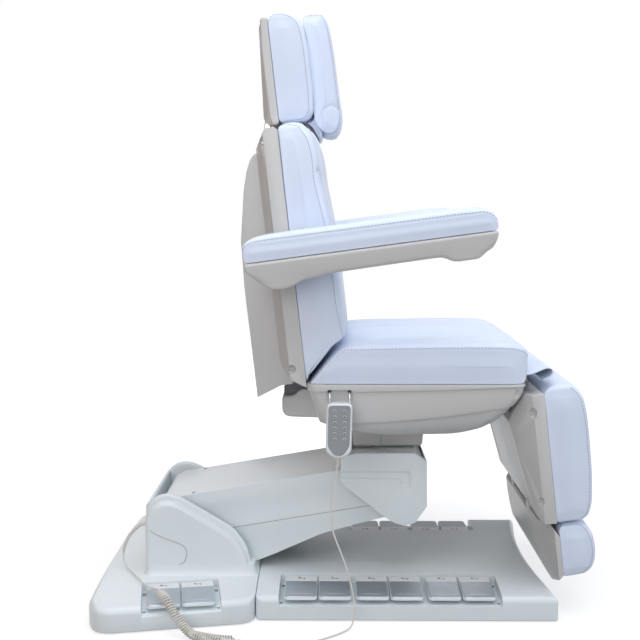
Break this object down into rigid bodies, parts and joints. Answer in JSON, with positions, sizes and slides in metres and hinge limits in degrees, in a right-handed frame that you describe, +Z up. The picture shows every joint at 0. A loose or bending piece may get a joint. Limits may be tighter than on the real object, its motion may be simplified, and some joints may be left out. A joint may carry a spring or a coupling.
{
  "type": "facial bed",
  "caption": "Powered facial bed on a lifting arm: padded seat, reclining back with headrest, swinging armrests, leg and foot section, foot pedals and a corded handset.",
  "frame": {"origin": "on the floor, under the middle of the bed's length and width, the cord left out", "axes": "+X to the foot end, +Y to the left-hand side of the person sitting, +Z up"},
  "size_m": [1.2343, 0.853, 1.473],
  "materials": {
    "vinyl": "satin vinyl upholstery, pale lavender",
    "moulding": "satin off-white moulding",
    "frame_steel": "grey powder coat",
    "chrome": "polished",
    "actuator": "matt black",
    "pedal_plate": "grey metal-look plate with a white label strip",
    "cord": "matt off-white"
  },
  "bodies": {
    "base": {"base_chassis": "frame_steel", "base_front_shell": "moulding", "base_rear_shell": "moulding", "lift_actuator": "actuator", "lift_pin": "frame_steel", "cord_plug": "cord", "cord_tail": "cord", "cord_coil": "cord"},
    "lift_arm": {"arm_beam": "frame_steel", "arm_cover": "moulding"},
    "yoke": {"yoke_bracket": "frame_steel", "yoke_cover": "moulding", "yoke_pin": "frame_steel", "tilt_pin": "frame_steel"},
    "seat": {"seat_frame": "frame_steel", "seat_shell": "moulding", "seat_pad": "vinyl", "recline_pin": "frame_steel", "leg_pin": "frame_steel", "back_actuator": "actuator", "leg_actuator": "actuator", "handset_hook": "chrome", "leg_flap": "vinyl"},
    "back": {"back_frame": "frame_steel", "back_shell": "moulding", "back_cover": "moulding", "back_pad": "vinyl"},
    "head_mast": {"head_bracket": "chrome"},
    "head": {"head_shell": "moulding", "head_pad": "vinyl", "head_pillow": "vinyl"},
    "arm_link_right": {"arm_hub_right": "moulding"},
    "arm_link_left": {"arm_hub_left": "moulding"},
    "armrest_right": {"arm_shell_right": "moulding", "arm_pad_right": "vinyl"},
    "armrest_left": {"arm_shell_left": "moulding", "arm_pad_left": "vinyl"},
    "leg": {"leg_shell": "moulding", "leg_cover": "moulding", "leg_pad": "vinyl"},
    "foot": {"foot_shell": "moulding", "foot_pad": "vinyl"},
    "handset": {"handset_body": "moulding", "cord_drop": "cord"},
    "pedal_rear_right_1": {"pedal_rear_right_1": "pedal_plate"},
    "pedal_rear_right_2": {"pedal_rear_right_2": "pedal_plate"},
    "pedal_rear_left_1": {"pedal_rear_left_1": "pedal_plate"},
    "pedal_rear_left_2": {"pedal_rear_left_2": "pedal_plate"},
    "pedal_front_right_1": {"pedal_front_right_1": "pedal_plate"},
    "pedal_front_right_2": {"pedal_front_right_2": "pedal_plate"},
    "pedal_front_right_3": {"pedal_front_right_3": "pedal_plate"},
    "pedal_front_right_4": {"pedal_front_right_4": "pedal_plate"},
    "pedal_front_right_5": {"pedal_front_right_5": "pedal_plate"},
    "pedal_front_right_6": {"pedal_front_right_6": "pedal_plate"},
    "pedal_front_left_1": {"pedal_front_left_1": "pedal_plate"},
    "pedal_front_left_2": {"pedal_front_left_2": "pedal_plate"},
    "pedal_front_left_3": {"pedal_front_left_3": "pedal_plate"},
    "pedal_front_left_4": {"pedal_front_left_4": "pedal_plate"},
    "pedal_front_left_5": {"pedal_front_left_5": "pedal_plate"},
    "pedal_front_left_6": {"pedal_front_left_6": "pedal_plate"}
  },
  "joints": [
    {"name": "lift", "type": "hinge", "parent": "base", "child": "lift_arm", "pos_m": [-0.435, 0, 0.19], "axis": [0, -1, 0], "range_deg": [0, 30]},
    {"name": "yoke_level", "type": "hinge", "parent": "lift_arm", "child": "yoke", "pos_m": [0.12505, 0, 0.28473], "axis": [0, -1, 0], "range_deg": [-30, 0]},
    {"name": "seat_tilt", "type": "hinge", "parent": "yoke", "child": "seat", "pos_m": [0.04005, 0, 0.40803], "axis": [0, -1, 0], "range_deg": [0, 10]},
    {"name": "recline", "type": "hinge", "parent": "seat", "child": "back", "pos_m": [-0.105, 0, 0.56], "axis": [0, -1, 0], "range_deg": [0, 80]},
    {"name": "head_height", "type": "slide", "parent": "back", "child": "head_mast", "axis": [-0.1106, 0, 0.9939], "range_m": [0, 0.08]},
    {"name": "head_tilt", "type": "hinge", "parent": "head_mast", "child": "head", "pos_m": [-0.19036, 0, 1.20049], "axis": [0, -1, 0], "range_deg": [0, 45]},
    {"name": "arm_link_right_level", "type": "hinge", "parent": "back", "child": "arm_link_right", "pos_m": [-0.15739, 0, 0.84998], "axis": [0, -1, 0], "range_deg": [-80, 0]},
    {"name": "armrest_right_swing", "type": "hinge", "parent": "arm_link_right", "child": "armrest_right", "pos_m": [-0.15739, 0, 0.84998], "axis": [0, -1, 0], "range_deg": [0, 80]},
    {"name": "arm_link_left_level", "type": "hinge", "parent": "back", "child": "arm_link_left", "pos_m": [-0.15739, 0, 0.84998], "axis": [0, -1, 0], "range_deg": [-80, 0]},
    {"name": "armrest_left_swing", "type": "hinge", "parent": "arm_link_left", "child": "armrest_left", "pos_m": [-0.15739, 0, 0.84998], "axis": [0, -1, 0], "range_deg": [0, 80]},
    {"name": "leg_lift", "type": "hinge", "parent": "seat", "child": "leg", "pos_m": [0.453, 0, 0.57], "axis": [0, -1, 0], "range_deg": [0, 80], "deforming": ["leg_flap"]},
    {"name": "foot_extend", "type": "slide", "parent": "leg", "child": "foot", "axis": [0.1219, 0, -0.9925], "range_m": [0, 0.13]},
    {"name": "handset_off", "type": "slide", "parent": "seat", "child": "handset", "axis": [0, -1, 0], "range_m": [0, 0.06]},
    {"name": "pedal_rear_right_1_press", "type": "hinge", "parent": "base", "child": "pedal_rear_right_1", "pos_m": [-0.44909, -0.24217, 0.058], "axis": [0.9865, 0.1639, 0], "range_deg": [0, 4], "stiffness_Nm_per_rad": 20, "springref_deg": -2.86},
    {"name": "pedal_rear_right_2_press", "type": "hinge", "parent": "base", "child": "pedal_rear_right_2", "pos_m": [-0.36622, -0.2284, 0.058], "axis": [0.9865, 0.1639, 0], "range_deg": [0, 4], "stiffness_Nm_per_rad": 20, "springref_deg": -2.86},
    {"name": "pedal_rear_left_1_press", "type": "hinge", "parent": "base", "child": "pedal_rear_left_1", "pos_m": [-0.44909, 0.24217, 0.058], "axis": [-0.9865, 0.1639, 0], "range_deg": [0, 4], "stiffness_Nm_per_rad": 20, "springref_deg": -2.86},
    {"name": "pedal_rear_left_2_press", "type": "hinge", "parent": "base", "child": "pedal_rear_left_2", "pos_m": [-0.36622, 0.2284, 0.058], "axis": [-0.9865, 0.1639, 0], "range_deg": [0, 4], "stiffness_Nm_per_rad": 20, "springref_deg": -2.86},
    {"name": "pedal_front_right_1_press", "type": "hinge", "parent": "base", "child": "pedal_front_right_1", "pos_m": [-0.106, -0.187, 0.058], "axis": [1, 0, 0], "range_deg": [0, 4], "stiffness_Nm_per_rad": 20, "springref_deg": -2.86},
    {"name": "pedal_front_right_2_press", "type": "hinge", "parent": "base", "child": "pedal_front_right_2", "pos_m": [-0.022, -0.187, 0.058], "axis": [1, 0, 0], "range_deg": [0, 4], "stiffness_Nm_per_rad": 20, "springref_deg": -2.86},
    {"name": "pedal_front_right_3_press", "type": "hinge", "parent": "base", "child": "pedal_front_right_3", "pos_m": [0.07, -0.187, 0.058], "axis": [1, 0, 0], "range_deg": [0, 4], "stiffness_Nm_per_rad": 20, "springref_deg": -2.86},
    {"name": "pedal_front_right_4_press", "type": "hinge", "parent": "base", "child": "pedal_front_right_4", "pos_m": [0.154, -0.187, 0.058], "axis": [1, 0, 0], "range_deg": [0, 4], "stiffness_Nm_per_rad": 20, "springref_deg": -2.86},
    {"name": "pedal_front_right_5_press", "type": "hinge", "parent": "base", "child": "pedal_front_right_5", "pos_m": [0.246, -0.187, 0.058], "axis": [1, 0, 0], "range_deg": [0, 4], "stiffness_Nm_per_rad": 20, "springref_deg": -2.86},
    {"name": "pedal_front_right_6_press", "type": "hinge", "parent": "base", "child": "pedal_front_right_6", "pos_m": [0.33, -0.187, 0.058], "axis": [1, 0, 0], "range_deg": [0, 4], "stiffness_Nm_per_rad": 20, "springref_deg": -2.86},
    {"name": "pedal_front_left_1_press", "type": "hinge", "parent": "base", "child": "pedal_front_left_1", "pos_m": [-0.106, 0.187, 0.058], "axis": [-1, 0, 0], "range_deg": [0, 4], "stiffness_Nm_per_rad": 20, "springref_deg": -2.86},
    {"name": "pedal_front_left_2_press", "type": "hinge", "parent": "base", "child": "pedal_front_left_2", "pos_m": [-0.022, 0.187, 0.058], "axis": [-1, 0, 0], "range_deg": [0, 4], "stiffness_Nm_per_rad": 20, "springref_deg": -2.86},
    {"name": "pedal_front_left_3_press", "type": "hinge", "parent": "base", "child": "pedal_front_left_3", "pos_m": [0.07, 0.187, 0.058], "axis": [-1, 0, 0], "range_deg": [0, 4], "stiffness_Nm_per_rad": 20, "springref_deg": -2.86},
    {"name": "pedal_front_left_4_press", "type": "hinge", "parent": "base", "child": "pedal_front_left_4", "pos_m": [0.154, 0.187, 0.058], "axis": [-1, 0, 0], "range_deg": [0, 4], "stiffness_Nm_per_rad": 20, "springref_deg": -2.86},
    {"name": "pedal_front_left_5_press", "type": "hinge", "parent": "base", "child": "pedal_front_left_5", "pos_m": [0.246, 0.187, 0.058], "axis": [-1, 0, 0], "range_deg": [0, 4], "stiffness_Nm_per_rad": 20, "springref_deg": -2.86},
    {"name": "pedal_front_left_6_press", "type": "hinge", "parent": "base", "child": "pedal_front_left_6", "pos_m": [0.33, 0.187, 0.058], "axis": [-1, 0, 0], "range_deg": [0, 4], "stiffness_Nm_per_rad": 20, "springref_deg": -2.86}
  ],
  "couplings": [
    {"joint": "yoke_level", "follows": "lift", "ratio": -1},
    {"joint": "arm_link_right_level", "follows": "recline", "ratio": -1},
    {"joint": "arm_link_left_level", "follows": "recline", "ratio": -1},
    {"joint": "foot_extend", "follows": "leg_lift", "m_per_rad": 0.08594}
  ]
}
